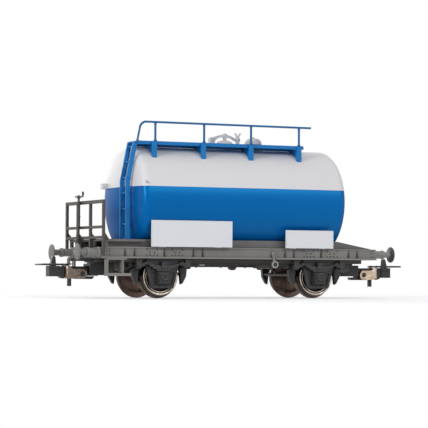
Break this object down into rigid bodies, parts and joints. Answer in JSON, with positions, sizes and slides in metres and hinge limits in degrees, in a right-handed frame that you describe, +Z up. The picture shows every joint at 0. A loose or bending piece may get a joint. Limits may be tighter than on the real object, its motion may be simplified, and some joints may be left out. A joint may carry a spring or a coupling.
{
  "type": "model railway tank wagon",
  "caption": "Two-axle model railway tank wagon with a platform, ladder and walkway, flanged wheels that roll, swinging couplers and lifting loops.",
  "frame": {"origin": "centre of the footprint, on the floor under the wheel flanges", "axes": "+X along the wagon away from the platform end, +Y across it away from the walkway, +Z up"},
  "size_m": [0.1164, 0.0308, 0.0505],
  "materials": {
    "tank_paint": "satin",
    "walkway_blue": "satin",
    "frame_grey": "matte",
    "cradle_grey": "matte",
    "railing_brown": "matte",
    "buffer_grey": "matte",
    "black_plastic": "matte",
    "fitting_grey": "satin",
    "sign_white": "satin",
    "wheel_nickel": "turned",
    "axle_steel": "turned",
    "strap_bronze": "stamped",
    "ballast_steel": "plain"
  },
  "bodies": {
    "wagon": {"floor_plate": "black_plastic", "ballast_weight": "ballast_steel", "solebar_near": "frame_grey", "solebar_far": "frame_grey", "headstock_left": "frame_grey", "headstock_right": "frame_grey", "cradle_beams": "cradle_grey", "tank_saddles": "cradle_grey", "tank": "tank_paint", "manhole_cover": "fitting_grey", "manhole_clamp": "fitting_grey", "valve_cap": "fitting_grey", "valve_box": "sign_white", "walkway": "walkway_blue", "walkway_brackets": "walkway_blue", "handrail": "walkway_blue", "ladder": "walkway_blue", "end_platform": "cradle_grey", "end_railing": "railing_brown", "handbrake": "railing_brown", "signs_near": "sign_white", "signs_far": "sign_white", "buffers_left": "buffer_grey", "buffers_right": "buffer_grey", "axle_guards_near": "black_plastic", "axle_guards_far": "black_plastic", "leaf_springs_near": "black_plastic", "leaf_springs_far": "black_plastic", "brake_shoes": "black_plastic", "brake_beams": "black_plastic", "air_reservoir": "black_plastic", "brake_cylinder": "black_plastic", "changeover_levers": "frame_grey", "corner_steps": "frame_grey", "coupler_pocket_left": "black_plastic", "coupler_pocket_right": "black_plastic", "draw_hook": "frame_grey"},
    "wheelset_left": {"axle_left": "axle_steel", "wheel_left_near": "wheel_nickel", "wheel_left_far": "wheel_nickel"},
    "wheelset_right": {"axle_right": "axle_steel", "wheel_right_near": "wheel_nickel", "wheel_right_far": "wheel_nickel"},
    "coupler_head_left": {"coupler_left": "black_plastic"},
    "coupler_head_right": {"coupler_right": "black_plastic"},
    "loop_left": {"strap_left": "strap_bronze", "loop_wire_left": "black_plastic"},
    "loop_right": {"strap_right": "strap_bronze", "loop_wire_right": "black_plastic"}
  },
  "joints": [
    {"name": "left_wheels_roll", "type": "hinge", "parent": "wagon", "child": "wheelset_left", "pos_m": [-0.025, 0, 0.0062], "axis": [0, 1, 0], "continuous": true},
    {"name": "right_wheels_roll", "type": "hinge", "parent": "wagon", "child": "wheelset_right", "pos_m": [0.025, 0, 0.0062], "axis": [0, 1, 0], "continuous": true},
    {"name": "left_coupler_swing", "type": "hinge", "parent": "wagon", "child": "coupler_head_left", "pos_m": [-0.041, 0, 0.0081], "axis": [0, 0, 1], "range_deg": [-5, 5], "stiffness_Nm_per_rad": 0.00005},
    {"name": "right_coupler_swing", "type": "hinge", "parent": "wagon", "child": "coupler_head_right", "pos_m": [0.041, 0, 0.0081], "axis": [0, 0, 1], "range_deg": [-5, 5], "stiffness_Nm_per_rad": 0.00005},
    {"name": "left_loop_lift", "type": "hinge", "parent": "coupler_head_left", "child": "loop_left", "pos_m": [-0.04565, 0, 0.0069], "axis": [0, 1, 0], "range_deg": [0, 18]},
    {"name": "right_loop_lift", "type": "hinge", "parent": "coupler_head_right", "child": "loop_right", "pos_m": [0.04565, 0, 0.0069], "axis": [0, -1, 0], "range_deg": [0, 18]}
  ]
}
